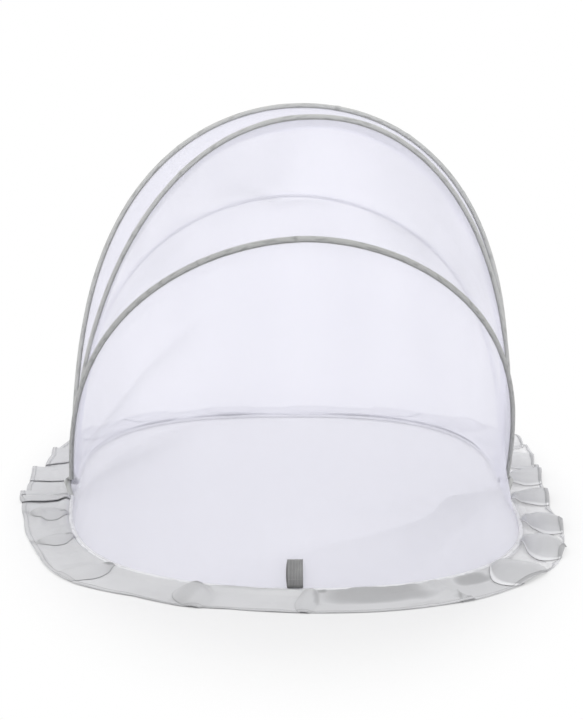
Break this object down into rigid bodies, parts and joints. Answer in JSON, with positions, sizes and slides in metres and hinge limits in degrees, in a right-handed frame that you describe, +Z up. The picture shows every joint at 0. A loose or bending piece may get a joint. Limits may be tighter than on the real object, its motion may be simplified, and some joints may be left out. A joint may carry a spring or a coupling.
{
  "type": "folding mosquito net tent",
  "caption": "Floorless folding net tent for a sleeping baby: rod hoops in tape sleeves fan out from side rivets, with fine net stretched between them and a pleated foot strip",
  "frame": {"origin": "On the floor, under the middle of the foot strips' box", "axes": "+X to the tent's right as seen from the front, +Y to the rear along its length, +Z up; the front net faces -Y"},
  "size_m": [0.8056, 1.282, 0.5859],
  "materials": {
    "rod": "drawn spring steel rod",
    "sleeve": "grey woven bias tape",
    "rod_end": "dark moulded plastic",
    "rivet": "plated steel",
    "net": "fine white knitted net, see-through",
    "strip": "thin pale grey woven cloth, pleated, with a stitched hem",
    "tab": "dark grey ribbed webbing"
  },
  "bodies": {
    "root": {"rear_base_rod": "rod", "rear_base_sleeve": "sleeve", "rear_base_end_right": "rod_end", "rear_base_end_left": "rod_end", "pivot_rivet_right": "rivet", "pivot_rivet_left": "rivet", "rivet_washer_right": "rivet", "rivet_washer_left": "rivet", "rear_foot_strip": "strip", "net_rear": "net"},
    "rear_rib": {"rear_rib_rod": "rod", "rear_rib_sleeve": "sleeve", "rear_rib_end_right": "rod_end", "rear_rib_end_left": "rod_end", "net_upper_rear": "net"},
    "crown_rib": {"crown_rib_rod": "rod", "crown_rib_sleeve": "sleeve", "crown_rib_end_right": "rod_end", "crown_rib_end_left": "rod_end", "net_crown": "net"},
    "brow_rib": {"brow_rib_rod": "rod", "brow_rib_sleeve": "sleeve", "brow_rib_end_right": "rod_end", "brow_rib_end_left": "rod_end", "net_upper_front": "net"},
    "front_rib": {"front_rib_rod": "rod", "front_rib_sleeve": "sleeve", "front_rib_end_right": "rod_end", "front_rib_end_left": "rod_end", "net_front": "net"},
    "front_base": {"front_base_rod": "rod", "front_base_sleeve": "sleeve", "front_base_end_right": "rod_end", "front_base_end_left": "rod_end", "front_foot_strip": "strip", "pull_tab": "tab"}
  },
  "joints": [
    {"name": "rear_rib_hinge", "type": "hinge", "parent": "root", "child": "rear_rib", "pos_m": [-0.00183, -0.00702, 0.02225], "axis": [-1, 0, 0], "range_deg": [0, 43], "deforming": ["net_rear"]},
    {"name": "crown_rib_hinge", "type": "hinge", "parent": "rear_rib", "child": "crown_rib", "pos_m": [-0.00183, -0.00702, 0.02225], "axis": [-1, 0, 0], "range_deg": [0, 43.5], "deforming": ["net_upper_rear"]},
    {"name": "brow_rib_hinge", "type": "hinge", "parent": "crown_rib", "child": "brow_rib", "pos_m": [-0.00183, -0.00702, 0.02225], "axis": [-1, 0, 0], "range_deg": [0, 10.9], "deforming": ["net_crown"]},
    {"name": "front_rib_hinge", "type": "hinge", "parent": "brow_rib", "child": "front_rib", "pos_m": [-0.00183, -0.00702, 0.02225], "axis": [-1, 0, 0], "range_deg": [0, 33.8], "deforming": ["net_upper_front"]},
    {"name": "front_base_hinge", "type": "hinge", "parent": "front_rib", "child": "front_base", "pos_m": [-0.00183, -0.00702, 0.02225], "axis": [-1, 0, 0], "range_deg": [0, 48.8], "deforming": ["net_front", "pull_tab"]}
  ],
  "couplings": [
    {"joint": "rear_rib_hinge", "follows": "front_base_hinge", "ratio": 0.88114},
    {"joint": "crown_rib_hinge", "follows": "front_base_hinge", "ratio": 0.89139},
    {"joint": "brow_rib_hinge", "follows": "front_base_hinge", "ratio": 0.22336},
    {"joint": "front_rib_hinge", "follows": "front_base_hinge", "ratio": 0.69262}
  ]
}
